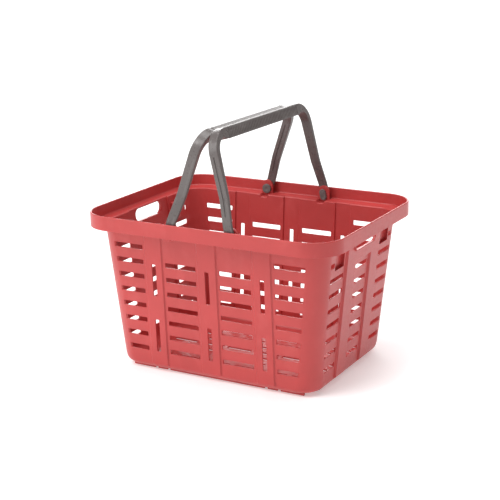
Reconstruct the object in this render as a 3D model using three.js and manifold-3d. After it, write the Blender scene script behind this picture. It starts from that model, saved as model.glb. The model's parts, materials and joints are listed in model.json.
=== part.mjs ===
// Store shopping basket: one moulded tub with two swinging carrying handles.
// Millimetres, +Z up. The origin is the middle of the footprint, on the surface the basket
// stands on. X runs along the long side, and the front long wall faces -Y.
import * as THREE from 'three';
import { mergeVertices } from 'three/addons/utils/BufferGeometryUtils.js';
import Module from 'manifold-3d';

const wasm = await Module();
wasm.setup();

// Driving dimensions
const LENGTH = 460;
const WIDTH = 360;
const HEIGHT = 270;
const WALL = 2.6;
const GAP = 0.3;
const THROUGH = 12;

// Rim: an outward ledge, an upstanding band on its edge, and a skirt below the ledge
const RIM_RADIUS = 55;
const BAND = 3;
const SKIRT_DROP = 24;
const LEDGE_DROP = 20;
const LEDGE_TOP = HEIGHT - LEDGE_DROP;
const LEDGE_BOTTOM = LEDGE_TOP - 2.8;
const SKIRT_BOTTOM = HEIGHT - SKIRT_DROP;

// Tub: half sizes of its outside at z = 0, and how far each wall opens per millimetre of height
const TUB_HALF_X = 183.7;
const TUB_HALF_Y = 138.6;
const TUB_RADIUS = 34;
const DRAFT_X = 0.099;
const DRAFT_Y = 0.059;
const BASE_Z = 4.2;
const FLOOR_TOP = 7;

// Slot grid, shared by all four walls
const ROWS = 8;
const ROW_PITCH = 25.5;
const SLOT_HEIGHT = 8.3;
const FIRST_ROW_TOP = 222;
const UPRIGHT_SLOT = 7.6;
const UPRIGHT_SPANS = [[135.9, 191.4], [37.1, 93.7]];

// Long walls: three raised strips that carry the upright slots
const STRIP_X = 100.5;
const STRIP_WIDTH = 34;
const MID_STRIP_WIDTH = 37;
const STRIP_PROUD = 2.4;
const STRIP_FOOT = 12;
const MID_COLUMN = { near: 21.8, far: 79.2 };
const CORNER_COLUMN = { near: 121.6, far: 177.7 };

// End walls: a raised panel round the hand hole that runs down as two strips, with the middle
// column of slots in the wall between them. Beside the panel is a closed pocket under the rim.
const PANEL_WIDTH = 128;
const PANEL_PROUD = 3;
const PANEL_GAP = { half: 29, top: 204 };
const PANEL_SLOT = 44;
const END_COLUMN = { near: 69, far: 120 };
const POCKET = { near: 71, far: 104, bottom: 208, top: 235, depth: 6 };
const HAND_HOLE = { width: 80, bottom: 225, top: 247, radius: 10, lip: 2.6, collar: 1.5 };

// Feet and floor
const FOOT = { inset: 11.7, thick: 3.6, longReach: 162, endReach: 97, notch: 5.5, notchRise: 2.8 };
const FOOT_NOTCHES = [93, 117];
const FLOOR_SLOT = { length: 46, width: 8.5, columns: 6, rows: 9, pitchX: 54, pitchY: 25 };

// Pivots: a lug on the ledge, a pin through it, and the handle leg between lug and band.
// The ledge dips in a trough under each lug.
const PIVOT_X = 56.5;
const PIVOT_Z = 258.5;
const LUG = { width: 22, thick: 4.5, outerFace: 168.5, top: 274.5, bore: 4.3 };
const TROUGH = { halfTop: 8.5, halfFloor: 5.5, floor: 245.5, skin: 2.5 };
const PIN = { radius: 4, headThick: 3.5, reach: 173 };
const ROUND_HEAD = { length: 17, width: 17 };
const OBLONG_HEAD = { length: 20, width: 11.5 };

// Handles: a flat strap bent into a bail, with a grip shell on its cross bar. Each leg stands
// straight past its lug, bends in from the shoulder to the knee, and then runs up to the
// corner, growing thicker.
const STRAP_WIDTH = 16.4;
const EYE_OUTER = 173.5;
const LEG_OUTER = 165;
const LEG_THICK = 4.6;
const KNEE_THICK = 6.4;
const CORNER_THICK = 10;
const BAR_THICK = 18.5;
const CORNER_STEPS = 9;
const SHOULDER_RISE = 18;
const KNEE_RISE = 62;
const HANDLE_RISE = 169;
const HANDLE_RADIUS = 38;
const GRIP = { reach: 120, depth: 19, top: 2.2, side: 2.3, core: 6.5 };
const GROOVE = { width: 3, depth: 1.2, bottom: 34, top: 129 };
// At rest both handles are raised and lean together, the left one a little further over
const LEFT_LEAN = 19.4;
const RIGHT_LEAN = 13.7;

// Materials

function tubPlastic() {
  return new THREE.MeshStandardMaterial({ color: 0xc84848, roughness: 0.45, metalness: 0 });
}

function handlePlastic() {
  return new THREE.MeshStandardMaterial({ color: 0x736b68, roughness: 0.5, metalness: 0 });
}

function gripPlastic() {
  return new THREE.MeshStandardMaterial({ color: 0x6c6461, roughness: 0.6, metalness: 0 });
}

function pinPlastic() {
  return new THREE.MeshStandardMaterial({ color: 0x5d5653, roughness: 0.55, metalness: 0 });
}

// Solids

function solid(geometry) {
  geometry.deleteAttribute('normal');
  geometry.deleteAttribute('uv');
  const merged = mergeVertices(geometry, 1e-4);
  const vertProperties = Float32Array.from(merged.attributes.position.array);
  const triVerts = Uint32Array.from(merged.index.array);
  return new wasm.Manifold(new wasm.Mesh({ numProp: 3, vertProperties, triVerts }));
}

function joined(base, additions) {
  return additions.reduce((whole, geometry) => whole.add(solid(geometry)), base);
}

function cut(base, cutters) {
  return cutters.reduce((whole, geometry) => whole.subtract(solid(geometry)), base);
}

function mesh(name, body, material) {
  const { vertProperties, triVerts } = body.getMesh();
  const geometry = new THREE.BufferGeometry();
  geometry.setAttribute('position', new THREE.BufferAttribute(vertProperties, 3));
  geometry.setIndex(new THREE.BufferAttribute(triVerts, 1));
  geometry.computeVertexNormals();
  const piece = new THREE.Mesh(geometry, material);
  piece.name = name;
  return piece;
}

function moveVertices(geometry, move) {
  const position = geometry.attributes.position;
  const point = new THREE.Vector3();
  for (let i = 0; i < position.count; i += 1) {
    point.fromBufferAttribute(position, i);
    move(point);
    position.setXYZ(i, point.x, point.y, point.z);
  }
  return geometry;
}

// A box between two opposite corners
function block([x0, y0, z0], [x1, y1, z1]) {
  const box = new THREE.BoxGeometry(x1 - x0, y1 - y0, z1 - z0);
  return box.translate((x0 + x1) / 2, (y0 + y1) / 2, (z0 + z1) / 2);
}

function roundedOutline(halfX, halfY, radius) {
  const x = halfX - radius;
  const y = halfY - radius;
  const shape = new THREE.Shape();
  shape.absarc(x, y, radius, 0, Math.PI / 2);
  shape.absarc(-x, y, radius, Math.PI / 2, Math.PI);
  shape.absarc(-x, -y, radius, Math.PI, Math.PI * 1.5);
  shape.absarc(x, -y, radius, Math.PI * 1.5, Math.PI * 2);
  return shape;
}

function prism(halfX, halfY, radius, bottom, top) {
  const options = { depth: top - bottom, bevelEnabled: false, curveSegments: 7 };
  const geometry = new THREE.ExtrudeGeometry(roundedOutline(halfX, halfY, radius), options);
  return geometry.translate(0, 0, bottom);
}

// A solid through level outlines of the tub, each set in from the drafted outer wall
function tubSolid(levels) {
  const steps = levels.length - 1;
  const options = { depth: steps, steps, bevelEnabled: false, curveSegments: 7 };
  const outline = roundedOutline(TUB_HALF_X, TUB_HALF_Y, TUB_RADIUS);
  return moveVertices(new THREE.ExtrudeGeometry(outline, options), (point) => {
    const { z, inset } = levels[Math.round(point.z)];
    point.x += Math.sign(point.x) * (DRAFT_X * z - inset);
    point.y += Math.sign(point.y) * (DRAFT_Y * z - inset);
    point.z = z;
  });
}

// The four walls. Each is worked out facing -Y, then turned about Z to its place.
const LONG_WALLS = [0, Math.PI].map((turn) => ({ turn, half: TUB_HALF_Y, draft: DRAFT_Y }));
const END_WALLS = [Math.PI / 2, -Math.PI / 2].map((turn) => (
  { turn, half: TUB_HALF_X, draft: DRAFT_X }));

// A block that follows a wall's slope. out and into are measured from the wall's outer face.
function wallBlock(wall, [left, right], [bottom, top], out, into) {
  const box = block([left, -wall.half - out, bottom], [right, -wall.half + into, top]);
  moveVertices(box, (point) => {
    point.y -= wall.draft * point.z;
  });
  return box.rotateZ(wall.turn);
}

function mirrored([near, far]) {
  return [[-far, -near], [near, far]];
}

// One column of level slots and its mirror image, narrowing with the corner when asked
function slotColumns(wall, column, firstRow, narrowing) {
  const cutters = [];
  for (let row = firstRow; row < ROWS; row += 1) {
    const top = FIRST_ROW_TOP - row * ROW_PITCH;
    const far = column.far - narrowing * row * ROW_PITCH;
    for (const span of mirrored([column.near, far])) {
      cutters.push(wallBlock(wall, span, [top - SLOT_HEIGHT, top], THROUGH, THROUGH));
    }
  }
  return cutters;
}

function strip(wall, centre, width, proud) {
  const span = [centre - width / 2, centre + width / 2];
  return wallBlock(wall, span, [STRIP_FOOT, LEDGE_BOTTOM + 1], proud, 1);
}

// The inside of a strip is hollowed so that the wall keeps one thickness
function stripHollow(wall, centre, width, proud) {
  const half = width / 2 - WALL;
  const span = [centre - half, centre + half];
  return wallBlock(wall, span, [FLOOR_TOP + STRIP_FOOT, LEDGE_TOP + 1], proud - WALL, THROUGH);
}

// A panel outline with the gap for the middle slots taken out of its lower part
function withGap(panel, wall, margin) {
  const half = PANEL_GAP.half + margin;
  const heights = [0, PANEL_GAP.top + margin];
  return cut(solid(panel), [wallBlock(wall, [-half, half], heights, THROUGH, 2 * THROUGH)]);
}

function longWallCutters(wall) {
  const cutters = [
    ...slotColumns(wall, MID_COLUMN, 1, 0),
    ...slotColumns(wall, CORNER_COLUMN, 0, DRAFT_X),
  ];
  for (const centre of [-STRIP_X, 0, STRIP_X]) {
    const span = [centre - UPRIGHT_SLOT / 2, centre + UPRIGHT_SLOT / 2];
    for (const heights of UPRIGHT_SPANS) {
      cutters.push(wallBlock(wall, span, heights, THROUGH, THROUGH));
    }
  }
  return cutters;
}

function endWallCutters(wall) {
  const cutters = slotColumns(wall, END_COLUMN, 1, DRAFT_Y);
  for (let row = 1; row < ROWS; row += 1) {
    const top = FIRST_ROW_TOP - row * ROW_PITCH;
    const span = [-PANEL_SLOT / 2, PANEL_SLOT / 2];
    cutters.push(wallBlock(wall, span, [top - SLOT_HEIGHT, top], THROUGH, THROUGH));
  }
  for (const span of mirrored([POCKET.far + WALL, END_COLUMN.far])) {
    const heights = [FIRST_ROW_TOP - SLOT_HEIGHT, FIRST_ROW_TOP];
    cutters.push(wallBlock(wall, span, heights, THROUGH, THROUGH));
  }
  for (const span of mirrored([POCKET.near, POCKET.far])) {
    const heights = [POCKET.bottom, POCKET.top];
    cutters.push(wallBlock(wall, span, heights, THROUGH, POCKET.depth));
  }
  return cutters;
}

// The boxes on the inside of an end wall that close its pockets
function pocketBacks(wall) {
  const heights = [POCKET.bottom - WALL, POCKET.top + WALL];
  return mirrored([POCKET.near - WALL, POCKET.far + WALL]).map((span) => (
    wallBlock(wall, span, heights, -1, POCKET.depth + WALL)));
}

// A level tunnel through an end wall with the hand hole's outline, grown by a margin
function handTunnel(wall, margin, out, into) {
  const halfWidth = HAND_HOLE.width / 2 + margin;
  const halfHeight = (HAND_HOLE.top - HAND_HOLE.bottom) / 2 + margin;
  const outline = roundedOutline(halfWidth, halfHeight, HAND_HOLE.radius + margin);
  const options = { depth: out + into, bevelEnabled: false, curveSegments: 4 };
  const tunnel = new THREE.ExtrudeGeometry(outline, options).rotateX(Math.PI / 2);
  const middle = (HAND_HOLE.top + HAND_HOLE.bottom) / 2;
  const face = -wall.half - wall.draft * middle;
  return tunnel.translate(0, face + into, middle).rotateZ(wall.turn);
}

// Rim, tub and everything moulded with them

function rim() {
  const halfX = LENGTH / 2;
  const halfY = WIDTH / 2;
  const inner = RIM_RADIUS - BAND;
  const band = solid(prism(halfX, halfY, RIM_RADIUS, SKIRT_BOTTOM, HEIGHT));
  const hollow = prism(halfX - BAND, halfY - BAND, inner, SKIRT_BOTTOM - 1, HEIGHT + 1);
  const ledge = prism(halfX - 1, halfY - 1, RIM_RADIUS - 1, LEDGE_BOTTOM, LEDGE_TOP);
  return joined(cut(band, [hollow]), [ledge]);
}

function tub() {
  const outside = tubSolid([
    { z: BASE_Z, inset: 9 },
    { z: 6, inset: 5 },
    { z: 9, inset: 2 },
    { z: 14, inset: 0.4 },
    { z: 22, inset: 0 },
    { z: LEDGE_TOP, inset: 0 },
  ]);
  const inside = tubSolid([
    { z: FLOOR_TOP, inset: WALL + 8 },
    { z: 9, inset: WALL + 4.2 },
    { z: 12, inset: WALL + 1.6 },
    { z: 17, inset: WALL + 0.2 },
    { z: 22, inset: WALL },
    { z: HEIGHT + 1, inset: WALL },
  ]);
  const strips = LONG_WALLS.flatMap((wall) => [
    strip(wall, -STRIP_X, STRIP_WIDTH, STRIP_PROUD),
    strip(wall, 0, MID_STRIP_WIDTH, STRIP_PROUD),
    strip(wall, STRIP_X, STRIP_WIDTH, STRIP_PROUD),
  ]);
  const stripHollows = LONG_WALLS.flatMap((wall) => [
    stripHollow(wall, -STRIP_X, STRIP_WIDTH, STRIP_PROUD),
    stripHollow(wall, 0, MID_STRIP_WIDTH, STRIP_PROUD),
    stripHollow(wall, STRIP_X, STRIP_WIDTH, STRIP_PROUD),
  ]);
  const panels = END_WALLS.map((wall) => (
    withGap(strip(wall, 0, PANEL_WIDTH, PANEL_PROUD), wall, 0)));
  const panelHollows = END_WALLS.map((wall) => (
    withGap(stripHollow(wall, 0, PANEL_WIDTH, PANEL_PROUD), wall, WALL)));
  const outer = joined(rim().add(solid(outside)), strips);
  const shell = panels.reduce((body, panel) => body.add(panel), outer);
  const hollowed = cut(shell, [inside, ...stripHollows]);
  const walls = panelHollows.reduce((body, hollow) => body.subtract(hollow), hollowed);
  return joined(walls, END_WALLS.flatMap(pocketBacks));
}

function handHoles(body) {
  const collars = END_WALLS.map((wall) => (
    handTunnel(wall, HAND_HOLE.lip, PANEL_PROUD + HAND_HOLE.collar, 0)));
  const holes = END_WALLS.map((wall) => handTunnel(wall, 0, 2 * THROUGH, THROUGH));
  return cut(joined(body, collars), holes);
}

function feet() {
  const halfX = TUB_HALF_X - FOOT.inset;
  const halfY = TUB_HALF_Y - FOOT.inset;
  const ribs = [];
  for (const side of [-1, 1]) {
    const y = side * (halfY - FOOT.thick / 2);
    const x = side * (halfX - FOOT.thick / 2);
    const half = FOOT.thick / 2;
    ribs.push(block([-FOOT.longReach, y - half, 0], [FOOT.longReach, y + half, BASE_Z + 1]));
    ribs.push(block([x - half, -FOOT.endReach, 0], [x + half, FOOT.endReach, BASE_Z + 1]));
  }
  return ribs;
}

function footNotches() {
  const cutters = [];
  const reach = TUB_HALF_Y;
  for (const distance of FOOT_NOTCHES) {
    for (const x of [-distance, distance]) {
      const half = FOOT.notch / 2;
      cutters.push(block([x - half, -reach, -1], [x + half, reach, FOOT.notchRise]));
    }
  }
  return cutters;
}

function floorSlots() {
  const cutters = [];
  for (let column = 0; column < FLOOR_SLOT.columns; column += 1) {
    for (let row = 0; row < FLOOR_SLOT.rows; row += 1) {
      const x = (column - (FLOOR_SLOT.columns - 1) / 2) * FLOOR_SLOT.pitchX;
      const y = (row - (FLOOR_SLOT.rows - 1) / 2) * FLOOR_SLOT.pitchY;
      const halfX = FLOOR_SLOT.length / 2;
      const halfY = FLOOR_SLOT.width / 2;
      cutters.push(block([x - halfX, y - halfY, 3], [x + halfX, y + halfY, FLOOR_TOP + 1]));
    }
  }
  return cutters;
}

// Each pivot: a trough sunk in the ledge, and a round-topped lug with a bore. sideX and sideY
// are 1 or -1 and pick the corner.

// A prism along Y whose section narrows from its top to its floor
function taperedBar(centre, [halfTop, top], [halfFloor, floor], nearY, farY) {
  const section = new THREE.Shape([
    new THREE.Vector2(-halfTop, top),
    new THREE.Vector2(-halfFloor, floor),
    new THREE.Vector2(halfFloor, floor),
    new THREE.Vector2(halfTop, top),
  ]);
  const [low, high] = [Math.min(nearY, farY), Math.max(nearY, farY)];
  const options = { depth: high - low, bevelEnabled: false };
  const bar = new THREE.ExtrudeGeometry(section, options).rotateX(Math.PI / 2);
  return bar.translate(centre, high, 0);
}

function troughShell(sideX, sideY) {
  const { halfTop, halfFloor, floor, skin } = TROUGH;
  const bottom = floor - skin;
  const near = sideY * (TUB_HALF_Y + DRAFT_Y * bottom - 1);
  const far = sideY * (WIDTH / 2 - BAND / 2);
  const top = [halfTop + skin, LEDGE_TOP - 1];
  return taperedBar(sideX * PIVOT_X, top, [halfFloor + skin / 2, bottom], near, far);
}

function troughHollow(sideX, sideY) {
  const { halfTop, halfFloor, floor } = TROUGH;
  const near = sideY * (TUB_HALF_Y + DRAFT_Y * floor - THROUGH);
  const far = sideY * (WIDTH / 2 - BAND);
  const slope = (halfTop - halfFloor) / (LEDGE_TOP - floor);
  const top = [halfTop + slope * 2, LEDGE_TOP + 2];
  return taperedBar(sideX * PIVOT_X, top, [halfFloor, floor], near, far);
}

function lug(sideX, sideY) {
  const half = LUG.width / 2;
  const shape = new THREE.Shape();
  shape.moveTo(-half, LEDGE_TOP - 1);
  shape.lineTo(-TROUGH.halfTop, LEDGE_TOP - 1);
  shape.lineTo(-TROUGH.halfFloor, TROUGH.floor - 1);
  shape.lineTo(TROUGH.halfFloor, TROUGH.floor - 1);
  shape.lineTo(TROUGH.halfTop, LEDGE_TOP - 1);
  shape.lineTo(half, LEDGE_TOP - 1);
  shape.absarc(0, LUG.top - half, half, 0, Math.PI);
  const bore = new THREE.Path();
  bore.absarc(0, PIVOT_Z, LUG.bore, 0, Math.PI * 2);
  shape.holes.push(bore);
  const options = { depth: LUG.thick, bevelEnabled: false, curveSegments: 12 };
  const plate = new THREE.ExtrudeGeometry(shape, options).rotateX(Math.PI / 2);
  const outermost = sideY < 0 ? -LUG.outerFace + LUG.thick : LUG.outerFace;
  return plate.translate(sideX * PIVOT_X, outermost, 0);
}

function corners(make) {
  return [[-1, -1], [1, -1], [-1, 1], [1, 1]].map(([x, y]) => make(x, y));
}

function basketBody() {
  const slots = [...LONG_WALLS.flatMap(longWallCutters), ...END_WALLS.flatMap(endWallCutters)];
  let body = cut(handHoles(tub()), slots);
  body = cut(joined(body, corners(troughShell)), corners(troughHollow));
  body = joined(body, corners(lug));
  body = cut(joined(body, feet()), [...footNotches(), ...floorSlots()]);
  return body;
}

// Handles, worked out upright about their pivot line, for the one hung on the right

// How far a leg's outer face and inner face stand from the middle plane, up to the corner
function outerFace(rise) {
  const bend = THREE.MathUtils.mapLinear(rise, SHOULDER_RISE, KNEE_RISE, EYE_OUTER, LEG_OUTER);
  return Math.max(bend, LEG_OUTER);
}

function innerFace(rise) {
  const corner = HANDLE_RISE - HANDLE_RADIUS;
  const [eye, knee] = [EYE_OUTER - LEG_THICK, LEG_OUTER - KNEE_THICK];
  if (rise < KNEE_RISE) {
    return THREE.MathUtils.mapLinear(rise, SHOULDER_RISE, KNEE_RISE, eye, knee);
  }
  return THREE.MathUtils.mapLinear(rise, KNEE_RISE, corner, knee, LEG_OUTER - CORNER_THICK);
}

// The inside of a bail's corner, which deepens towards the cross bar, on one side of the middle
function cornerInside(side) {
  const line = [];
  for (let step = 0; step <= CORNER_STEPS; step += 1) {
    const part = step / CORNER_STEPS;
    const turn = part * Math.PI / 2;
    const radius = HANDLE_RADIUS - CORNER_THICK - (BAR_THICK - CORNER_THICK) * part ** 3;
    const y = LEG_OUTER - HANDLE_RADIUS + radius * Math.cos(turn);
    const z = HANDLE_RISE - HANDLE_RADIUS + radius * Math.sin(turn);
    line.push(new THREE.Vector2(side * y, z));
  }
  return line;
}

function bailOutline() {
  const arcY = LEG_OUTER - HANDLE_RADIUS;
  const arcZ = HANDLE_RISE - HANDLE_RADIUS;
  const inner = EYE_OUTER - LEG_THICK;
  const shape = new THREE.Shape();
  shape.moveTo(EYE_OUTER, 0);
  shape.lineTo(EYE_OUTER, SHOULDER_RISE);
  shape.lineTo(LEG_OUTER, KNEE_RISE);
  shape.absarc(arcY, arcZ, HANDLE_RADIUS, 0, Math.PI / 2);
  shape.absarc(-arcY, arcZ, HANDLE_RADIUS, Math.PI / 2, Math.PI);
  shape.lineTo(-LEG_OUTER, KNEE_RISE);
  shape.lineTo(-EYE_OUTER, SHOULDER_RISE);
  shape.lineTo(-EYE_OUTER, 0);
  shape.lineTo(-inner, 0);
  shape.lineTo(-inner, SHOULDER_RISE);
  shape.lineTo(-innerFace(KNEE_RISE), KNEE_RISE);
  for (const { x, y } of [...cornerInside(-1), ...cornerInside(1).reverse()]) {
    shape.lineTo(x, y);
  }
  shape.lineTo(innerFace(KNEE_RISE), KNEE_RISE);
  shape.lineTo(inner, SHOULDER_RISE);
  shape.lineTo(inner, 0);
  return shape;
}

// An outline in the Y and Z of the handle, given a width along X
function strapPiece(outline, width) {
  const options = { depth: width, bevelEnabled: false, curveSegments: 9 };
  const piece = new THREE.ExtrudeGeometry(outline, options);
  return piece.translate(0, 0, -width / 2).rotateX(Math.PI / 2).rotateZ(Math.PI / 2);
}

// A groove down the middle of the front leg, in its outer or its inner face
function legGroove(face) {
  const rises = [GROOVE.bottom, KNEE_RISE, GROOVE.top];
  const line = (offset) => rises.map((rise) => (
    new THREE.Vector2(offset - face(rise), rise)));
  const outline = new THREE.Shape([...line(-GROOVE.depth), ...line(GROOVE.depth).reverse()]);
  return strapPiece(outline, GROOVE.width);
}

// A round bar along Y between two distances from the middle plane, on one side of it
function pivotBar(side, radius, near, far, segments) {
  const bar = new THREE.CylinderGeometry(radius, radius, far - near, segments);
  return bar.translate(0, side * (near + far) / 2, 0);
}

function gripBlock(reach, side, top, bottom) {
  const low = HANDLE_RISE - bottom;
  const high = HANDLE_RISE - top;
  return block([-side, -reach, low], [side, reach, high]);
}

function gripCore(reach) {
  const half = STRAP_WIDTH / 2 - GRIP.side - GAP;
  const top = GRIP.top + GAP;
  return gripBlock(reach, half, top, top + GRIP.core);
}

function handleBail() {
  const inner = EYE_OUTER - LEG_THICK;
  const eye = (side) => pivotBar(side, STRAP_WIDTH / 2, inner, EYE_OUTER, 28);
  const bore = (side) => pivotBar(side, LUG.bore, inner - 1, EYE_OUTER + 1, 24);
  const seat = gripBlock(GRIP.reach, STRAP_WIDTH, -1, GRIP.depth + 1);
  const grooves = [legGroove(outerFace), legGroove(innerFace)];
  let bail = joined(solid(strapPiece(bailOutline(), STRAP_WIDTH)), [eye(-1), eye(1)]);
  bail = cut(bail, [seat, bore(-1), bore(1), ...grooves]);
  return joined(bail, [gripCore(GRIP.reach + 1)]);
}

function gripShell() {
  const reach = GRIP.reach - GAP;
  const shell = solid(gripBlock(reach, STRAP_WIDTH / 2, 0, GRIP.depth));
  const hollow = gripBlock(reach + 1, STRAP_WIDTH / 2 - GRIP.side, GRIP.top, GRIP.depth + 1);
  return cut(shell, [hollow]);
}

// A pin's head on the lug's inner face, and its shaft through the lug and the leg
function pivotPin(side, { length, width }) {
  const headOuter = LUG.outerFace - LUG.thick - GAP;
  const straight = (length - width) / 2;
  const outline = new THREE.Shape();
  outline.absarc(0, straight, width / 2, 0, Math.PI);
  outline.absarc(0, -straight, width / 2, Math.PI, Math.PI * 2);
  const options = { depth: PIN.headThick, bevelEnabled: false, curveSegments: 10 };
  const head = new THREE.ExtrudeGeometry(outline, options).rotateX(Math.PI / 2);
  head.translate(0, side < 0 ? -headOuter + PIN.headThick : headOuter, 0);
  return joined(solid(head), [pivotBar(side, PIN.radius, headOuter - 1, PIN.reach, 24)]);
}

// The grooved leg turns on a round-headed pin, the plain leg on an oblong-headed one
function handle(name, turn, lean) {
  const leaning = new THREE.Group();
  leaning.position.set(PIVOT_X, 0, PIVOT_Z);
  leaning.rotation.y = -THREE.MathUtils.degToRad(lean);
  const [grooved, plain] = turn === 0 ? ['front', 'back'] : ['back', 'front'];
  leaning.add(
    mesh(`handle_bail_${name}`, handleBail(), handlePlastic()),
    mesh(`handle_grip_${name}`, gripShell(), gripPlastic()),
    mesh(`pivot_pin_${name}_${grooved}`, pivotPin(-1, ROUND_HEAD), pinPlastic()),
    mesh(`pivot_pin_${name}_${plain}`, pivotPin(1, OBLONG_HEAD), pinPlastic()),
  );
  const turned = new THREE.Group();
  turned.rotation.z = turn;
  turned.add(leaning);
  return turned;
}

const basket = new THREE.Group();
basket.add(
  mesh('basket_body', basketBody(), tubPlastic()),
  handle('right', 0, RIGHT_LEAN),
  handle('left', Math.PI, LEFT_LEAN),
);

export default basket;
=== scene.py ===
import json
import math

import bmesh
import bpy
from mathutils import Matrix, Vector

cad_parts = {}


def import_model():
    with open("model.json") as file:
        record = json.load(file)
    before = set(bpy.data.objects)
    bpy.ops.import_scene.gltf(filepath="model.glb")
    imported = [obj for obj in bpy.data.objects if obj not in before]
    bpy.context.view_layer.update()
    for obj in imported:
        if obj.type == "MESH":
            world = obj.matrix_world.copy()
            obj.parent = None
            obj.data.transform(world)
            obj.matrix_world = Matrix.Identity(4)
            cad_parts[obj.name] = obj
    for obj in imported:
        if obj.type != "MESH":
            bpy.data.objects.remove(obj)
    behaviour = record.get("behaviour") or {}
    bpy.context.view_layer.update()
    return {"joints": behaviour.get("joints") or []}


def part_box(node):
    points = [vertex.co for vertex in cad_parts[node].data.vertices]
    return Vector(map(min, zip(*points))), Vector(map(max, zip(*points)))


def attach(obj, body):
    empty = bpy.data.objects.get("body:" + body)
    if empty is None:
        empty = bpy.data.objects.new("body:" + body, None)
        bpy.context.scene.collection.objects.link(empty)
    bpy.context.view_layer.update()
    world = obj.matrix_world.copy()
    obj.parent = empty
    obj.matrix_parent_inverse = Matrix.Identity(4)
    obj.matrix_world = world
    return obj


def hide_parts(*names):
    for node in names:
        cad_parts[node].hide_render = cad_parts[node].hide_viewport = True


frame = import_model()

MM = 0.001
JOINTS = {joint["name"]: joint for joint in frame["joints"]}


def box_mm(node):
    low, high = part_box(node)
    return low / MM, high / MM


# Rim: a ledge, an upstanding band on its edge and a skirt below it
BODY_LOW, BODY_HIGH = box_mm("basket_body")
HALF_X = (BODY_HIGH.x - BODY_LOW.x) / 2
HALF_Y = (BODY_HIGH.y - BODY_LOW.y) / 2
LUG_TOP = BODY_HIGH.z
LUG_OVER_RIM = 4.5
RIM_TOP = LUG_TOP - LUG_OVER_RIM
RIM_RADIUS = 55
BAND = 3
LEDGE_DROP = 20
LEDGE_THICK = 2.8
SKIRT_DEPTH = 24
LEDGE_TOP = RIM_TOP - LEDGE_DROP
LEDGE_BOTTOM = LEDGE_TOP - LEDGE_THICK
SKIRT_BOTTOM = RIM_TOP - SKIRT_DEPTH
EASE = 1.2

# Tub: half sizes at z = 0, and how far each wall opens per millimetre of height
WALL = 2.6
TUB_HALF_X = 183.7
TUB_HALF_Y = 138.6
TUB_RADIUS = 34
DRAFT_X = 0.099
DRAFT_Y = 0.059
BASE_Z = 4.2
FLOOR_TOP = 7

# Slot grid
ROWS = 8
ROW_PITCH = 25.5
SLOT_HEIGHT = 8.3
FIRST_ROW_TOP = 222
SLOT_CORNER = 1.2
UPRIGHT_HALF = 3.8
UPRIGHT_SPANS = [(135.9, 191.4), (37.1, 94.5)]

# Raised strips on the long walls. On an end wall a raised panel round the hand hole runs down as
# two strips, with the middle column of slots in the wall between them. Beside the panel is a
# closed pocket under the rim.
LONG_STRIPS = [(-100.5, 17), (0, 18.5), (100.5, 17)]
STRIP_PROUD = 2.4
END_PANEL = [(0, 64)]
END_STRIPS = [(-46.5, 17.5), (46.5, 17.5)]
PANEL_GAP_TOP = 204
PANEL_PROUD = 3
FLANK = 1.7
HOLLOW_NEAR = 2.2
HOLLOW_FAR = 3.1
STRIP_FOOT = 12
MID_COLUMN = (21.8, 79.2)
CORNER_COLUMN = 121.6
PANEL_SLOT = 22
END_COLUMN = 69
POCKET = (71, 104)
POCKET_SPAN = (208, 235)
POCKET_DEPTH = 6
# How far the outer slots reach round the tub's corners, from a long wall and from an end wall
LONG_SLOT_ARC = math.degrees(math.asin(6 / TUB_RADIUS))
END_SLOT_ARC = math.degrees(math.asin(2.3 / TUB_RADIUS))

# Hand holes
HOLE_HALF = 40
HOLE_BOTTOM = 225
HOLE_TOP = 247
HOLE_RADIUS = 10
LIP = 2.6
COLLAR = 1.5

# Feet and floor
FOOT_INSET = 11.7
FOOT_THICK = 3.6
FOOT_LONG = 162
FOOT_END = 97
FOOT_NOTCHES = (93, 117)
NOTCH_HALF = 2.75
NOTCH_RISE = 2.8
FLOOR_COLUMNS = 6
FLOOR_ROWS = 9
FLOOR_PITCH = (54, 25)
FLOOR_SLOT = (46, 8.5)

# Pivots: a lug on the ledge, over a trough, with a pin through it
PIVOT_X = JOINTS["right_handle_swing"]["pos_m"][0] / MM
PIVOT_Z = JOINTS["right_handle_swing"]["pos_m"][2] / MM
LUG_HALF = 11
LUG_THICK = 4.5
LUG_OUTER = 168.5
LUG_BORE = 4.3
LUG_ROOT = 0.8
TROUGH_TOP = 8.5
TROUGH_FLOOR = 5.5
TROUGH_DEPTH = 4.5
SHELL_TOP = 11
SHELL_FLOOR = 6.75
SHELL_DEPTH = 4.2
GAP = 0.3
PIN_RADIUS = 4
HEAD_THICK = 3.5
HEAD_OUTER = LUG_OUTER - LUG_THICK - GAP
HEAD_INNER = HEAD_OUTER - HEAD_THICK
PIN_REACH = 173

# Handles, upright about their pivot line
STRAP_HALF = 8.2
EYE_OUTER = 173.5
LEG_OUTER = 165
LEG_THICK = 4.6
KNEE_THICK = 6.4
CORNER_THICK = 10
BAR_THICK = 18.5
SHOULDER_RISE = 18
KNEE_RISE = 62
HANDLE_RISE = 169
HANDLE_RADIUS = 38
GRIP_REACH = 120
GRIP_DEPTH = 19
GRIP_WALL = 2.3
GRIP_ROUND = 2.2
RIB_PITCH = 5.2
RIB_VALLEY = 0.8
RIBS_END = 5
GROOVE_HALF = 1.5
GROOVE_DEPTH = 1.2
GROOVE_BOTTOM = 34
GROOVE_TOP = 129


# Meshes

def new_object(name, bm):
    bmesh.ops.recalc_face_normals(bm, faces=bm.faces)
    mesh = bpy.data.meshes.new(name)
    bm.to_mesh(mesh)
    bm.free()
    made = bpy.data.objects.new(name, mesh)
    bpy.context.scene.collection.objects.link(made)
    return made


def point(x, y, z):
    return Vector((x, y, z)) * MM


def ring_edges(bm, ring):
    edges = []
    for a, b in zip(ring, ring[1:] + ring[:1]):
        edges.append(bm.edges.get((a, b)) or bm.edges.new((a, b)))
    return edges


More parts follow.
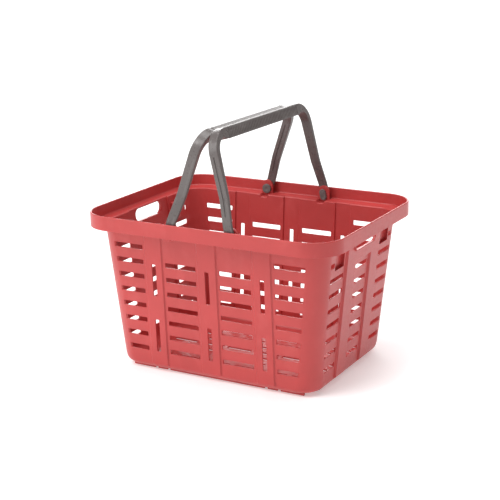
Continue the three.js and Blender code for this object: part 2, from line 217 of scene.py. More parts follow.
def bridge(bm, ring_a, ring_b):
    count = len(ring_a)
    for k in range(count):
        after = (k + 1) % count
        bm.faces.new((ring_a[k], ring_a[after], ring_b[after], ring_b[k]))


# A closed outline, with holes in it, given a depth. place(u, v, depth) says where a point goes.
def extrusion(name, outline, depths, place, holes=()):
    bm = bmesh.new()
    ends = []
    for depth in depths:
        rings = [[bm.verts.new(place(u, v, depth)) for u, v in ring] for ring in (outline, *holes)]
        if holes:
            edges = [edge for ring in rings for edge in ring_edges(bm, ring)]
            bmesh.ops.triangle_fill(bm, use_beauty=True, edges=edges)
        else:
            bm.faces.new(rings[0])
        ends.append(rings)
    for near, far in zip(*ends):
        bridge(bm, near, far)
    return new_object(name, bm)


# A tube through closed sections that all have the same number of points
def sweep(name, sections):
    bm = bmesh.new()
    rings = [[bm.verts.new(point(*place)) for place in section] for section in sections]
    for near, far in zip(rings, rings[1:]):
        bridge(bm, near, far)
    bm.faces.new(rings[0])
    bm.faces.new(rings[-1])
    return new_object(name, bm)


def baked(made):
    graph = bpy.context.evaluated_depsgraph_get()
    mesh = bpy.data.meshes.new_from_object(made.evaluated_get(graph))
    made.modifiers.clear()
    made.data = mesh


def cut(made, cutters):
    for cutter in cutters:
        modifier = made.modifiers.new("cut", "BOOLEAN")
        modifier.operation = "DIFFERENCE"
        modifier.solver = "MANIFOLD"
        modifier.object = cutter
    bpy.context.view_layer.update()
    baked(made)
    for cutter in cutters:
        bpy.data.objects.remove(cutter)


# Small rounds on every edge sharper than the limit, and smooth shading
def soften(made, width, limit, segments=2):
    made.data.shade_smooth()
    bevel = made.modifiers.new("rounds", "BEVEL")
    bevel.width = width * MM
    bevel.segments = segments
    bevel.limit_method = "ANGLE"
    bevel.angle_limit = math.radians(limit)
    bevel.use_clamp_overlap = False
    normals = made.modifiers.new("normals", "WEIGHTED_NORMAL")
    normals.weight = 60
    return made


def arc(centre, radius, start, end, steps):
    turns = [math.radians(start + (end - start) * k / steps) for k in range(steps + 1)]
    return [(centre[0] + radius * math.cos(a), centre[1] + radius * math.sin(a)) for a in turns]


def rounded_rectangle(half_u, half_v, radius, steps=5):
    u, v = half_u - radius, half_v - radius
    return [
        *arc((u, v), radius, 0, 90, steps),
        *arc((-u, v), radius, 90, 180, steps),
        *arc((-u, -v), radius, 180, 270, steps),
        *arc((u, -v), radius, 270, 360, steps),
    ]


# Tub and rim: one sheet with thickness, on stations round the basket and levels up its walls.
# A station is (wall, distance along the wall) or (corner, angle round it), corner n after wall n.

TANGENTS = [Vector((1, 0)), Vector((0, 1)), Vector((-1, 0)), Vector((0, -1))]
NORMALS = [Vector((0, -1)), Vector((1, 0)), Vector((0, 1)), Vector((-1, 0))]


def is_long(wall):
    return wall % 2 == 0


def strips_of(wall, height=0):
    if is_long(wall):
        return LONG_STRIPS
    return END_PANEL if height > PANEL_GAP_TOP + FLANK / 2 else END_STRIPS


def both_sides(distances):
    return [side * distance for side in (-1, 1) for distance in distances]


def wall_lines(wall):
    lines = []
    for centre, half in strips_of(wall):
        for inward in (0, FLANK, HOLLOW_NEAR, HOLLOW_FAR):
            lines += [centre - half + inward, centre + half - inward]
    if is_long(wall):
        lines += both_sides([*MID_COLUMN, CORNER_COLUMN])
        lines += [c + side * UPRIGHT_HALF for c, _ in LONG_STRIPS for side in (-1, 1)]
        offsets = both_sides([TROUGH_TOP, TROUGH_FLOOR, SHELL_TOP, SHELL_FLOOR])
        lines += [side * PIVOT_X + offset for side in (-1, 1) for offset in offsets]
    else:
        lines += both_sides([PANEL_SLOT, END_COLUMN, *POCKET, POCKET[1] + WALL])
    return sorted(set(lines))


def corner_angles(wall):
    middle = [20, 30, 40, 50, 60, 70, 79]
    angles = [0, LONG_SLOT_ARC / 2, LONG_SLOT_ARC, *middle, 90 - END_SLOT_ARC, 90]
    return angles if is_long(wall) else [90 - angle for angle in reversed(angles)]


def make_stations():
    found = []
    for wall in range(4):
        found += [(wall, "wall", line) for line in wall_lines(wall)]
        found += [(wall, "corner", angle) for angle in corner_angles(wall)]
    return found


STATIONS = make_stations()


# Where a station meets a rounded rectangle
def on_outline(station, half_x, half_y, radius, push):
    wall, kind, value = station
    tangent, normal = TANGENTS[wall], NORMALS[wall]
    along, out = (half_x, half_y) if is_long(wall) else (half_y, half_x)
    if kind == "wall":
        return tangent * value + normal * (out + push)
    centre = tangent * (along - radius) + normal * (out - radius)
    turn = math.radians(value)
    return centre + (normal * math.cos(turn) + tangent * math.sin(turn)) * radius


def ramp(value, start, end):
    return min(max((value - start) / (end - start), 0), 1)


# How far the wall stands out at a station, outside or in the hollow inside. The height is the one
# of the level outside.
def proud(station, hollow, height):
    wall, kind, value = station
    if kind == "corner":
        return 0
    most = STRIP_PROUD if is_long(wall) else PANEL_PROUD
    start, end = (HOLLOW_NEAR, HOLLOW_FAR) if hollow else (0, FLANK)
    inward = max(half - abs(value - centre) for centre, half in strips_of(wall, height))
    return most * ramp(inward, start, end)


# How far the ledge dips at a station, from 0 to 1, on its top or its underside
def dip(station, underside):
    wall, kind, value = station
    if kind == "corner" or not is_long(wall):
        return 0
    away = abs(abs(value) - PIVOT_X)
    start, end = (SHELL_TOP, SHELL_FLOOR) if underside else (TROUGH_TOP, TROUGH_FLOOR)
    return ramp(away, start, end)


# Levels from the base up: (height, set-in, share of the strip) outside, and the same inside
def make_levels():
    base = [
        ((BASE_Z, 9, 0), (FLOOR_TOP, WALL + 8, 0)),
        ((6, 5, 0), (9, WALL + 4.2, 0)),
        ((9, 2, 0), (STRIP_FOOT, WALL + 1.6, 0)),
        ((STRIP_FOOT, 0.9, 0), (14.5, WALL + 0.7, 0)),
        ((STRIP_FOOT + 1.2, 0.6, 1), (17, WALL + 0.2, 0)),
        ((17, 0.2, 1), (FLOOR_TOP + STRIP_FOOT, WALL + 0.1, 0)),
        ((21, 0, 1), (21, WALL, 1)),
    ]
    rows = [FIRST_ROW_TOP - row * ROW_PITCH for row in range(ROWS)]
    heights = {height for top in rows for height in (top, top - SLOT_HEIGHT)}
    heights |= {height for span in UPRIGHT_SPANS for height in span}
    heights |= set(POCKET_SPAN)
    walls = [((height, 0, 1), (height, WALL, 1)) for height in heights]
    for outside, inside in ((0, HOLLOW_NEAR), (FLANK, HOLLOW_FAR)):
        walls.append(((PANEL_GAP_TOP + outside, 0, 1), (PANEL_GAP_TOP + inside, WALL, 1)))
    return [*base, *sorted(walls), ((LEDGE_BOTTOM, 0, 1), (LEDGE_TOP - EASE, WALL, 1))]


LEVELS = make_levels()
LAST = len(LEVELS) - 1


def tub_point(station, level, inside):
    height, inset, share = LEVELS[level][1 if inside else 0]
    push = share * proud(station, inside, LEVELS[level][0][0])
    if level == LAST:
        height -= TROUGH_DEPTH * dip(station, False) if inside else SHELL_DEPTH * dip(station, True)
    half_x = TUB_HALF_X + DRAFT_X * height - inset
    half_y = TUB_HALF_Y + DRAFT_Y * height - inset
    place = on_outline(station, half_x, half_y, TUB_RADIUS, push)
    return point(*place, height)


def rim_point(station, inset, height):
    place = on_outline(station, HALF_X - inset, HALF_Y - inset, RIM_RADIUS - inset, 0)
    return point(*place, height)


def ledge_edge(station):
    height = LEDGE_TOP - TROUGH_DEPTH * dip(station, False)
    half_x = TUB_HALF_X + DRAFT_X * height - WALL + EASE
    half_y = TUB_HALF_Y + DRAFT_Y * height - WALL + EASE
    place = on_outline(station, half_x, half_y, TUB_RADIUS, proud(station, True, LEDGE_BOTTOM))
    return point(*place, height)


# From the tub's outside, under the ledge, round the skirt and the band, and back to its inside
def rim_profile(station):
    under, over = dip(station, True), dip(station, False)
    behind = BAND * (1 - under / 2)
    top = LEDGE_TOP - TROUGH_DEPTH * over
    places = [
        (behind, LEDGE_BOTTOM - SHELL_DEPTH * under),
        (behind, SKIRT_BOTTOM),
        (0, SKIRT_BOTTOM),
    ]
    round_top = arc((-BAND / 2, RIM_TOP - BAND / 2), BAND / 2, 0, 180, 6)
    places += [(-inset, height) for inset, height in round_top]
    places += [(BAND, top + EASE), (BAND + EASE, top)]
    return [rim_point(station, *place) for place in places] + [ledge_edge(station)]


# The wall that a cell belongs to and the distance along it, far out for the curved slot ends
def cell_place(index):
    first, second = STATIONS[index], STATIONS[(index + 1) % len(STATIONS)]
    wall = first[0]
    beyond = 1000
    if first[1] == "wall" and second[1] == "wall":
        return wall, (first[2] + second[2]) / 2
    if first[1] == "wall":
        return wall, beyond
    if second[1] == "wall":
        return second[0], -beyond
    middle = (first[2] + second[2]) / 2
    near, far = (LONG_SLOT_ARC, END_SLOT_ARC) if is_long(wall) else (END_SLOT_ARC, LONG_SLOT_ARC)
    if middle < near:
        return wall, beyond
    if middle > 90 - far:
        return (wall + 1) % 4, -beyond
    return None, 0


def in_row(height, first_row):
    tops = [FIRST_ROW_TOP - row * ROW_PITCH for row in range(first_row, ROWS)]
    return any(top - SLOT_HEIGHT < height < top for top in tops)


def between(value, span):
    return span[0] < value < span[1]


def is_open(index, level):
    wall, along = cell_place(index)
    if wall is None or level >= LAST - 1:
        return False
    height = (LEVELS[level][0][0] + LEVELS[level + 1][0][0]) / 2
    away = abs(along)
    if is_long(wall):
        if between(away, MID_COLUMN):
            return in_row(height, 1)
        if away > CORNER_COLUMN:
            return in_row(height, 0)
        on_strip = any(abs(along - centre) < UPRIGHT_HALF for centre, _ in LONG_STRIPS)
        return on_strip and any(between(height, span) for span in UPRIGHT_SPANS)
    if away < PANEL_SLOT:
        return in_row(height, 1)
    if between(away, POCKET) and between(height, POCKET_SPAN):
        return True
    if away > POCKET[1] + WALL:
        return in_row(height, 0)
    return away > END_COLUMN and in_row(height, 1)


class Walls:
    """The vertices of the tub, each made when a face first needs it."""

    def __init__(self):
        self.bm = bmesh.new()
        self.made = {}
        count = len(STATIONS)
        self.open = {(i, j): is_open(i, j) for i in range(count) for j in range(LAST)}

    def vertex(self, inside, level, index):
        key = (inside, level, index % len(STATIONS))
        if key not in self.made:
            place = tub_point(STATIONS[key[2]], level, inside)
            self.made[key] = self.bm.verts.new(place)
        return self.made[key]

    def pair(self, level, index):
        return self.vertex(False, level, index), self.vertex(True, level, index)

    def side(self, corner_a, corner_b):
        (outer_a, inner_a), (outer_b, inner_b) = self.pair(*corner_a), self.pair(*corner_b)
        self.bm.faces.new((outer_a, outer_b, inner_b, inner_a))

    def is_open(self, index, level):
        return self.open.get((index % len(STATIONS), level), False)

    def cell(self, index, level):
        corners = [(level, index), (level, index + 1), (level + 1, index + 1), (level + 1, index)]
        for inside in (False, True):
            self.bm.faces.new([self.vertex(inside, *corner) for corner in corners])
        around = [(index, level - 1), (index + 1, level), (index, level + 1), (index - 1, level)]
        for k, neighbour in enumerate(around):
            if self.is_open(*neighbour):
                self.side(corners[k], corners[(k + 1) % 4])

    def slot_corners(self):
        edges = []
        for index in range(len(STATIONS)):
            for level in range(1, LAST):
                around = [(index - a, level - b) for a in (0, 1) for b in (0, 1)]
                if sum(self.is_open(*cell) for cell in around) in (1, 3):
                    edges.append(self.bm.edges.get(self.pair(level, index)))
        return edges


def floor_lines(count, pitch, slot):
    centres = [(k - (count - 1) / 2) * pitch for k in range(count)]
    return [centre + side * slot / 2 for centre in centres for side in (-1, 1)]


# The floor: a slotted plate between the lowest rings of the tub
def add_floor(walls):
    bm = walls.bm
    xs = floor_lines(FLOOR_COLUMNS, FLOOR_PITCH[0], FLOOR_SLOT[0])
    ys = floor_lines(FLOOR_ROWS, FLOOR_PITCH[1], FLOOR_SLOT[1])
    cells = [(i, j) for i in range(len(xs) - 1) for j in range(len(ys) - 1)]
    slots = {(i, j) for i, j in cells if i % 2 == 0 and j % 2 == 0}
    faces = []
    for inside, height in ((False, BASE_Z), (True, FLOOR_TOP)):
        grid = [[bm.verts.new(point(x, y, height)) for y in ys] for x in xs]
        for i, j in cells:
            if (i, j) not in slots:
                bm.faces.new((grid[i][j], grid[i + 1][j], grid[i + 1][j + 1], grid[i][j + 1]))
        border = [column[0] for column in grid] + grid[-1][1:]
        border += [column[-1] for column in reversed(grid[:-1])] + grid[0][-2:0:-1]
        ring = [walls.vertex(inside, 0, index) for index in range(len(STATIONS))]
        edges = ring_edges(bm, border) + ring_edges(bm, ring)
        bmesh.ops.triangle_fill(bm, use_beauty=True, edges=edges)
        faces.append(grid)
    low, high = faces
    for i, j in slots:
        around = [(i, j), (i + 1, j), (i + 1, j + 1), (i, j + 1)]
        bridge(bm, [low[a][b] for a, b in around], [high[a][b] for a, b in around])


def hole_outline(margin):
    half_height = (HOLE_TOP - HOLE_BOTTOM) / 2 + margin
    return rounded_rectangle(HOLE_HALF + margin, half_height, HOLE_RADIUS + margin, 6)


HOLE_MIDDLE = (HOLE_TOP + HOLE_BOTTOM) / 2
END_FACE = TUB_HALF_X + DRAFT_X * HOLE_MIDDLE


def basket_tub():
    walls = Walls()
    count = len(STATIONS)
    for index in range(count):
        for level in range(LAST):
            if not walls.is_open(index, level):
                walls.cell(index, level)
    rim = [[walls.bm.verts.new(place) for place in rim_profile(s)] for s in STATIONS]
    rings = [[walls.vertex(False, LAST, index) for index in range(count)]]
    rings += [[rim[index][k] for index in range(count)] for k in range(len(rim[0]))]
    rings.append([walls.vertex(True, LAST, index) for index in range(count)])
    for near, far in zip(rings, rings[1:]):
        bridge(walls.bm, near, far)
    add_floor(walls)
    bmesh.ops.recalc_face_normals(walls.bm, faces=walls.bm.faces)
    bmesh.ops.bevel(
        walls.bm, geom=walls.slot_corners(), offset=SLOT_CORNER * MM, offset_type="OFFSET",
        segments=3, profile=0.5, affect="EDGES", clamp_overlap=False)
    tub = new_object("basket_tub", walls.bm)
    reach = END_FACE + PANEL_PROUD + COLLAR + 2
    for side in (-1, 1):
        depths = (side * (END_FACE - 12), side * reach)
        cutter = extrusion("hand_hole", hole_outline(0), depths,
                           lambda u, v, depth: point(depth, u, v + HOLE_MIDDLE))
        cut(tub, [cutter])
    return soften(tub, 0.35, 40)


# The rounded lip round a hand hole, standing out from the end panel
def hand_hole_collar(name, side):
    outer = END_FACE + PANEL_PROUD + COLLAR
    root = END_FACE + PANEL_PROUD - 1.2

    def place(u, v, depth):
        slope = DRAFT_X * v if depth == root else 0
        return point(side * (depth + slope), u, v + HOLE_MIDDLE)

    collar = extrusion(name, hole_outline(LIP), (root, outer), place, [hole_outline(-0.15)])
    return soften(collar, 0.7, 40, 3)


# The box behind a pocket of an end wall, open towards the outside and following the wall's slope
def pocket_back(name, side_x, side_y):
    middle_u = side_y * sum(POCKET) / 2
    middle_v = sum(POCKET_SPAN) / 2
    half_u = (POCKET[1] - POCKET[0]) / 2
    half_v = (POCKET_SPAN[1] - POCKET_SPAN[0]) / 2
    face = TUB_HALF_X + DRAFT_X * middle_v

    def box(label, margin, radius, near, far):
        outline = rounded_rectangle(half_u + margin, half_v + margin, radius, 4)
        return extrusion(label, outline, (near, far), lambda u, v, depth: point(
            side_x * (face - depth + DRAFT_X * v), u + middle_u, v + middle_v))

    back = box(name, WALL - 0.4, SLOT_CORNER + 1, WALL - 1.2, POCKET_DEPTH + WALL - 0.6)
    cut(back, [box("pocket", 0, SLOT_CORNER, -1, POCKET_DEPTH)])
    return soften(back, 0.35, 40)


def foot_outline(reach, notches):
    top, outline = BASE_Z + 0.6, []
    for centre in sorted(both_sides(notches)):
        outline += [(centre - NOTCH_HALF, 0), (centre - NOTCH_HALF, NOTCH_RISE)]
        outline += [(centre + NOTCH_HALF, NOTCH_RISE), (centre + NOTCH_HALF, 0)]
    return [(-reach, 0), *outline, (reach, 0), (reach, top), (-reach, top)]


def basket_feet():
    feet = []
    for name, side in (("front", -1), ("back", 1)):
        outer = side * (TUB_HALF_Y - FOOT_INSET)
        depths = (outer, outer - side * FOOT_THICK)
        feet.append(extrusion(f"foot_{name}", foot_outline(FOOT_LONG, FOOT_NOTCHES), depths,
                              lambda u, v, depth: point(u, depth, v)))
    for name, side in (("left", -1), ("right", 1)):
        outer = side * (TUB_HALF_X - FOOT_INSET)
        depths = (outer, outer - side * FOOT_THICK)
        feet.append(extrusion(f"foot_{name}", foot_outline(FOOT_END, ()), depths,
                              lambda u, v, depth: point(depth, u, v)))
    return [soften(foot, 0.5, 40) for foot in feet]


# A round-topped lug with a bore, its root sunk in the ledge and the trough
def lug(name, side_x, side_y):
    root = LEDGE_TOP - LUG_ROOT
    deep = root - TROUGH_DEPTH
    round_top = arc((0, LUG_TOP - LUG_HALF), LUG_HALF, 0, 180, 16)
    floor, top = TROUGH_FLOOR + LUG_ROOT, TROUGH_TOP + LUG_ROOT
    outline = [(-LUG_HALF, root), (-top, root), (-floor, deep), (floor, deep), (top, root), (LUG_HALF, root)]
    bore = arc((0, PIVOT_Z), LUG_BORE, 0, 345, 23)
    depths = (side_y * LUG_OUTER, side_y * (LUG_OUTER - LUG_THICK))
    plate = extrusion(name, [*outline, *round_top], depths,
                      lambda u, v, depth: point(side_x * PIVOT_X + u, depth, v), [bore])
    return soften(plate, 0.7, 40, 3)


# Handles

def outer_line(rise):
    return max(LEG_OUTER, EYE_OUTER - (EYE_OUTER - LEG_OUTER) * ramp(rise, SHOULDER_RISE, KNEE_RISE))


def inner_line(rise):
    eye, knee = EYE_OUTER - LEG_THICK, LEG_OUTER - KNEE_THICK
    top = LEG_OUTER - CORNER_THICK
    lower = eye + (knee - eye) * ramp(rise, SHOULDER_RISE, KNEE_RISE)
    return lower + (top - knee) * ramp(rise, KNEE_RISE, HANDLE_RISE - HANDLE_RADIUS)


# A face line with its kinks eased over a few millimetres, short of the lug beside it
def eased(line, rise):
    reach = 3
    steps = range(-reach, reach + 1)
    return sum(line(rise + step) for step in steps) / len(steps)


# Across the strap: a rounded rectangle between two points of its faces, in the middle plane
def strap_section(outer, inner, half_width, corner=1.4):
    outer, inner = Vector(outer), Vector(inner)
    half = (outer - inner).length / 2
    across = (outer - inner).normalized()
    middle = (outer + inner) / 2
    corner = min(corner, half * 0.9, half_width * 0.9)
    outline = rounded_rectangle(half, half_width, corner, 3)
    places = [(middle + across * u, v) for u, v in outline]
    return [(v, place.x, place.y) for place, v in places]


# One leg from its rounded eye up to the corner, on the +Y side
def leg_sections():
    sections = []
    for degrees in (80, 65, 50, 35, 20, 8):
        turn = math.radians(degrees)
        rise = -STRAP_HALF * math.sin(turn)
        faces = (EYE_OUTER, rise), (EYE_OUTER - LEG_THICK, rise)
        sections.append(strap_section(*faces, STRAP_HALF * math.cos(turn)))
    corner = HANDLE_RISE - HANDLE_RADIUS
    rise = 0
    while rise < corner - 1:
        faces = (eased(outer_line, rise), rise), (eased(inner_line, rise), rise)
        sections.append(strap_section(*faces, STRAP_HALF))
        rise += 4
    return sections


def corner_sections():
    centre = (LEG_OUTER - HANDLE_RADIUS, HANDLE_RISE - HANDLE_RADIUS)
    steps = 12
    sections = []
    for step in range(steps + 1):
        part = step / steps
        turn = math.radians(90 * part)
        deeper = (BAR_THICK - CORNER_THICK) * part ** 3
        across = Vector((math.cos(turn), math.sin(turn)))
        outer = Vector(centre) + across * HANDLE_RADIUS
        inner = outer - across * (CORNER_THICK + deeper)
        sections.append(strap_section(outer, inner, STRAP_HALF))
    return sections


# The cross bar, as deep as the grip at its ends, steps down to the core that the grip sits on
def bar_sections():
    top, bottom = HANDLE_RISE, HANDLE_RISE - CORNER_THICK
    end_bottom = HANDLE_RISE - BAR_THICK
    core_half = STRAP_HALF - GRIP_WALL - 0.3
    core_top = HANDLE_RISE - GRIP_WALL - 0.2
    return [
        strap_section((GRIP_REACH + 0.1, top), (GRIP_REACH + 0.1, end_bottom), STRAP_HALF),
        strap_section((GRIP_REACH, core_top), (GRIP_REACH, bottom + 1), core_half),
        strap_section((0, core_top), (0, bottom + 1), core_half),
    ]


def mirrored(section):
    return [(x, -y, z) for x, y, z in section]


def groove_cutter(line, name):
    sections = []
    rises = [GROOVE_BOTTOM + step * 0.5 for step in range(4)]
    rise = GROOVE_BOTTOM + 4
    while rise < GROOVE_TOP:
        rises.append(rise)
        rise += 6
    for rise in [*rises, GROOVE_TOP]:
        face = -eased(line, rise)
        rounding = min(1, (rise - GROOVE_BOTTOM + 0.15) / GROOVE_HALF)
        half = GROOVE_HALF * math.sqrt(1 - (1 - rounding) ** 2)
        near, far = (face - GROOVE_DEPTH, rise), (face + GROOVE_DEPTH, rise)
        sections.append(strap_section(near, far, half, 0.2))
    return sweep(name, sections)


def bore_cutter():
    circle = arc((0, 0), LUG_BORE, 0, 345, 23)
    return extrusion("bore", circle, (-180, 180), lambda u, v, depth: point(u, depth, v))


# A bail hung on the right: its grooved leg is the front one
def bail(name):
    half = [*leg_sections(), *corner_sections(), *bar_sections()]
    sections = [*half, *[mirrored(section) for section in reversed(half[:-1])]]
    made = sweep(name, sections)
    cutters = [groove_cutter(outer_line, "groove_out"), groove_cutter(inner_line, "groove_in")]
    cut(made, [*cutters, bore_cutter()])
    return soften(made, 0.3, 50)


# Across the grip: an upside-down channel with rounded top edges. bite is how deep a rib's
# valley cuts into its sides.
def grip_section(along, bite, squeeze):
    half = STRAP_HALF - squeeze
    top, bottom = HANDLE_RISE - squeeze, HANDLE_RISE - GRIP_DEPTH + squeeze
    low, high = HANDLE_RISE - GRIP_DEPTH + 2.6, HANDLE_RISE - 3.6
    round_edge = arc((half - GRIP_ROUND, top - GRIP_ROUND), GRIP_ROUND, 0, 90, 5)
    valley = [(half - bite, low + 0.5), (half - bite, high - 0.5)]
    right = [(half, bottom), (half, low), *valley, (half, high), *round_edge]
    left = [(-u, v) for u, v in reversed(right)]
    inner, ceiling = STRAP_HALF - GRIP_WALL, HANDLE_RISE - GRIP_WALL
    hollow = [(-inner, bottom), (-inner, ceiling), (inner, ceiling), (inner, bottom)]
    return [(u, along, v) for u, v in [*right, *left, *hollow]]


# A grip with a shallow ring near each end and ribs between them
def grip(name):
    reach = GRIP_REACH - GAP
    ring = [(0, 0.5), (0.6, 0), (2.4, 0), (2.8, 0.7), (3.8, 0.7), (4.2, 0)]
    rib = [(0.1, 0), (0.9, RIB_VALLEY), (2.3, RIB_VALLEY), (3.1, 0)]
    stations = [(offset - reach, 0, squeeze) for offset, squeeze in ring]
    along = RIBS_END - reach
    while along + RIB_PITCH < reach - RIBS_END:
        stations += [(along + offset, bite, 0) for offset, bite in rib]
        along += RIB_PITCH
    stations += [(reach - offset, 0, squeeze) for offset, squeeze in reversed(ring)]
    return soften(sweep(name, [grip_section(*station) for station in stations]), 0.25, 50)


# A pin about the pivot line: a head with a shallow recess, and a shaft. side is -1 or 1 in Y.
def pin(name, side, length, width, recess):
    straight = (length - width) / 2

    def ring(radius, stretch, along):
        top = arc((0, stretch), radius, 0, 180, 14)
        bottom = arc((0, -stretch), radius, 180, 360, 14)
        outline = [*top[:-1], (-radius, stretch), *bottom[:-1], (radius, -stretch)]
        return [(u, side * along, v) for u, v in outline]

    half = width / 2
    sections = [
        ring(half - recess - 1.6, straight * 0.9, HEAD_INNER + 0.9),
        ring(half - recess, straight, HEAD_INNER + 0.05),
        ring(half - recess + 0.3, straight, HEAD_INNER),
        ring(half - 0.9, straight, HEAD_INNER),
        ring(half - 0.27, straight, HEAD_INNER + 0.27),
        ring(half, straight, HEAD_INNER + 0.9),
        ring(half, straight, HEAD_OUTER),
        ring(PIN_RADIUS, 0.02, HEAD_OUTER),
        ring(PIN_RADIUS, 0.02, PIN_REACH - 0.5),
        ring(PIN_RADIUS - 0.5, 0.02, PIN_REACH),
    ]
    return soften(sweep(name, sections), 0.15, 60)


# Materials

class Nodes:
    """A material's node tree, with a short way to add and link nodes."""

    def __init__(self, name):
        self.material = bpy.data.materials.new(name)
        self.material.use_nodes = True
        self.tree = self.material.node_tree
        self.tree.nodes.clear()

    def add(self, kind, inputs=(), **settings):
        node = self.tree.nodes.new(kind)
        for key, value in settings.items():
            setattr(node, key, value)
        for key, value in dict(inputs).items():
            if isinstance(value, bpy.types.NodeSocket):
                self.tree.links.new(value, node.inputs[key])
            else:
                node.inputs[key].default_value = value
        return node

    def noise(self, coordinates, scale, detail, stretch=(1, 1, 1)):
        mapped = self.add("ShaderNodeMapping", {"Vector": coordinates, "Scale": stretch})
        inputs = {"Vector": mapped.outputs[0], "Scale": scale, "Detail": detail}
        return self.add("ShaderNodeTexNoise", inputs).outputs["Fac"]

    def spread(self, value, low, high, to_low, to_high):
        inputs = {0: value, 1: low, 2: high, 3: to_low, 4: to_high}
        return self.add("ShaderNodeMapRange", inputs).outputs[0]

    def mix(self, factor, first, second):
        node = self.add("ShaderNodeMix", data_type="RGBA")
        for index, value in ((0, factor), (6, first), (7, second)):
            if isinstance(value, bpy.types.NodeSocket):
                self.tree.links.new(value, node.inputs[index])
            else:
                node.inputs[index].default_value = value
        return node.outputs[2]

    def bump(self, height, strength, distance, normal=None):
        inputs = {"Height": height, "Strength": strength, "Distance": distance}
        if normal is not None:
            inputs["Normal"] = normal
        return self.add("ShaderNodeBump", inputs).outputs[0]


# Moulded plastic: slow colour drift, fine grain, and flow streaks mixed toward a lighter colour. On the tub
# the streaks are light rubbing; on the handle legs they are partly rubbing and partly painted sheen, pale
# lengthwise streaks that stand in for highlights.
def moulded(name, colour, wear_and_sheen_colour, roughness, grain, streaks):
    nodes = Nodes(name)
    place = nodes.add("ShaderNodeTexCoord").outputs["Object"]
    drift = nodes.spread(nodes.noise(place, 14, 3), 0.3, 0.7, 0.0, 1.0)
    darker = [channel * 0.88 for channel in colour[:3]] + [1]
    base = nodes.mix(drift, darker, colour)
    flow = nodes.noise(place, 60, 4, streaks)
    # Flow streaks lightened toward the second colour: rubbing, and on the handles painted sheen as well
    wear_and_sheen_mask = nodes.spread(flow, 0.56, 0.72, 0.0, 0.35)
    shade = nodes.mix(wear_and_sheen_mask, base, wear_and_sheen_colour)
    rough = nodes.spread(nodes.noise(place, 220, 4), 0.3, 0.7, roughness - 0.05, roughness + 0.06)
    wavy = nodes.bump(nodes.noise(place, 45, 2), 0.12, 0.0006)
    fine = nodes.bump(nodes.noise(place, grain, 2), 0.22, 0.00006, wavy)
    inputs = {"Base Color": shade, "Roughness": rough, "Normal": fine}
    shader = nodes.add("ShaderNodeBsdfPrincipled", inputs)
    shader.inputs["IOR"].default_value = 1.49
    nodes.add("ShaderNodeOutputMaterial", {"Surface": shader.outputs[0]})
    return nodes.material


TUB_PLASTIC = moulded(
    "tub_plastic", (0.535, 0.054, 0.052, 1), (0.58, 0.085, 0.080, 1),
    0.34, 1500, (0.5, 0.5, 0.3))
# Painted sheen: the pale streaks stretched along the handle legs stand in for highlights along them
HANDLE_PLASTIC = moulded(
    "handle_plastic", (0.138, 0.119, 0.114, 1), (0.33, 0.30, 0.29, 1),
    0.30, 1300, (3, 3, 0.12))
GRIP_PLASTIC = moulded(
    "grip_plastic", (0.125, 0.108, 0.103, 1), (0.24, 0.22, 0.21, 1),
    0.45, 1700, (1, 0.4, 1))
PIN_PLASTIC = moulded(
    "pin_plastic", (0.145, 0.13, 0.125, 1), (0.26, 0.24, 0.23, 1),
    0.42, 1500, (1, 1, 1))


def placed(made, body, material, replaced=None, matrix=None):
    made.data.materials.clear()
    made.data.materials.append(material)
    if matrix is not None:
        made.matrix_world = matrix
    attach(made, body)
    if replaced:
        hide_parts(replaced)
    return made


# Assembly

def build_basket():
    placed(basket_tub(), "basket", TUB_PLASTIC, "basket_body")
    for foot in basket_feet():
        placed(foot, "basket", TUB_PLASTIC)
    for name, side in (("left", -1), ("right", 1)):
        placed(hand_hole_collar(f"hand_hole_collar_{name}", side), "basket", TUB_PLASTIC)
        for where, side_y in (("front", -1), ("back", 1)):
            placed(lug(f"lug_{name}_{where}", side, side_y), "basket", TUB_PLASTIC)
            placed(pocket_back(f"pocket_{name}_{where}", side, side_y), "basket",
                   TUB_PLASTIC)


# A handle at rest leans so that its grip is where the part has it
def build_handle(name, turn):
    low, high = box_mm(f"handle_grip_{name}")
    middle = (low + high) / 2
    facing = 1 if turn == 0 else -1
    lean = math.atan2(PIVOT_X - facing * middle.x, middle.z - PIVOT_Z)
    matrix = (Matrix.Rotation(turn, 4, "Z") @ Matrix.Translation(point(PIVOT_X, 0, PIVOT_Z))
              @ Matrix.Rotation(-lean, 4, "Y"))
    grooved, plain = ("front", "back") if turn == 0 else ("back", "front")
    body = f"{name}_handle"
    placed(bail(f"bail_{name}"), body, HANDLE_PLASTIC, f"handle_bail_{name}", matrix)
    placed(grip(f"grip_{name}"), body, GRIP_PLASTIC, f"handle_grip_{name}", matrix)
    placed(pin(f"pin_{name}_{grooved}", -1, 17, 17, 5.2), body, PIN_PLASTIC,
           f"pivot_pin_{name}_{grooved}", matrix)
    placed(pin(f"pin_{name}_{plain}", 1, 20, 11.5, 2.4), body, PIN_PLASTIC,
           f"pivot_pin_{name}_{plain}", matrix)


build_basket()
build_handle("right", 0)
build_handle("left", math.pi)


# Studio: pale floor, soft light, camera

def pale_floor():
    nodes = Nodes("pale_floor")
    place = nodes.add("ShaderNodeTexCoord").outputs["Object"]
    tone = nodes.mix(nodes.noise(place, 3, 2), (0.86, 0.86, 0.86, 1), (0.88, 0.88, 0.88, 1))
    shader = nodes.add("ShaderNodeBsdfPrincipled", {"Base Color": tone, "Roughness": 0.8})
    shader.inputs["Emission Color"].default_value = (1, 1, 1, 1)
    shader.inputs["Emission Strength"].default_value = 0.33
    nodes.add("ShaderNodeOutputMaterial", {"Surface": shader.outputs[0]})
    bm = bmesh.new()
    bmesh.ops.create_grid(bm, x_segments=1, y_segments=1, size=30)
    floor = new_object("floor", bm)
    floor.location.z = -0.0005
    floor.data.materials.append(nodes.material)


def world(strength):
    made = bpy.data.worlds.new("studio")
    made.use_nodes = True
    background = made.node_tree.nodes["Background"]
    background.inputs["Color"].default_value = (1.0, 1.0, 1.0, 1)
    background.inputs["Strength"].default_value = strength
    bpy.context.scene.world = made


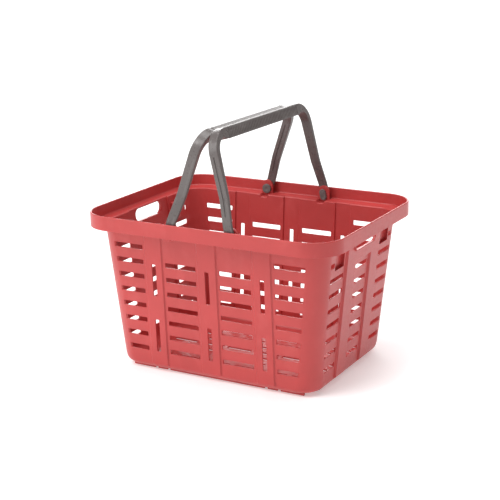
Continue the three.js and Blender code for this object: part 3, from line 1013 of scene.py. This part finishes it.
def area_light(name, place, target, size, power):
    data = bpy.data.lights.new(name, "AREA")
    data.shape = "RECTANGLE"
    data.size, data.size_y = size
    data.energy = power
    lamp = bpy.data.objects.new(name, data)
    lamp.location = place
    lamp.rotation_mode = "QUATERNION"
    lamp.rotation_quaternion = (Vector(target) - Vector(place)).to_track_quat("-Z", "Y")
    bpy.context.scene.collection.objects.link(lamp)


def sun(name, direction, spread, power):
    data = bpy.data.lights.new(name, "SUN")
    data.angle = math.radians(spread)
    data.energy = power
    lamp = bpy.data.objects.new(name, data)
    lamp.rotation_mode = "QUATERNION"
    lamp.rotation_quaternion = Vector(direction).to_track_quat("-Z", "Y")
    bpy.context.scene.collection.objects.link(lamp)


# The camera stands where the photograph was taken from
CAMERA_PLACE = (0.99807, -1.81704, 0.77514)
CAMERA_DEGREES = (28.86, 15.75, -0.70)
CAMERA_LENS = 91.05


def camera():
    azimuth, elevation, roll = [math.radians(degrees) for degrees in CAMERA_DEGREES]
    level = math.cos(elevation)
    back = Vector((math.sin(azimuth) * level, -math.cos(azimuth) * level, math.sin(elevation)))
    right = (-back).cross(Vector((0, 0, 1))).normalized()
    up = right.cross(-back)
    across = math.cos(roll) * right + math.sin(roll) * up
    upward = -math.sin(roll) * right + math.cos(roll) * up
    turn = Matrix((across, upward, back)).transposed().to_4x4()
    data = bpy.data.cameras.new("camera")
    data.lens = CAMERA_LENS
    data.sensor_width = 36
    made = bpy.data.objects.new("camera", data)
    made.matrix_world = Matrix.Translation(CAMERA_PLACE) @ turn
    bpy.context.scene.collection.objects.link(made)
    bpy.context.scene.camera = made


pale_floor()
world(0.37)
sun("key", (0.28, 0.5, -0.85), 30, 1.25)
area_light("left_front", (-1.35, -1.5, 1.1), (-0.1, 0, 0.15), (1.2, 1.2), 15)
area_light("above", (0.1, 0.2, 2.2), (0, 0, 0.2), (1.6, 1.2), 23)
area_light("behind", (-4.9, 9.1, 3.3), (0, 0, 0.3), (8.4, 3.9), 610)
camera()
bpy.context.scene.view_settings.view_transform = "Standard"
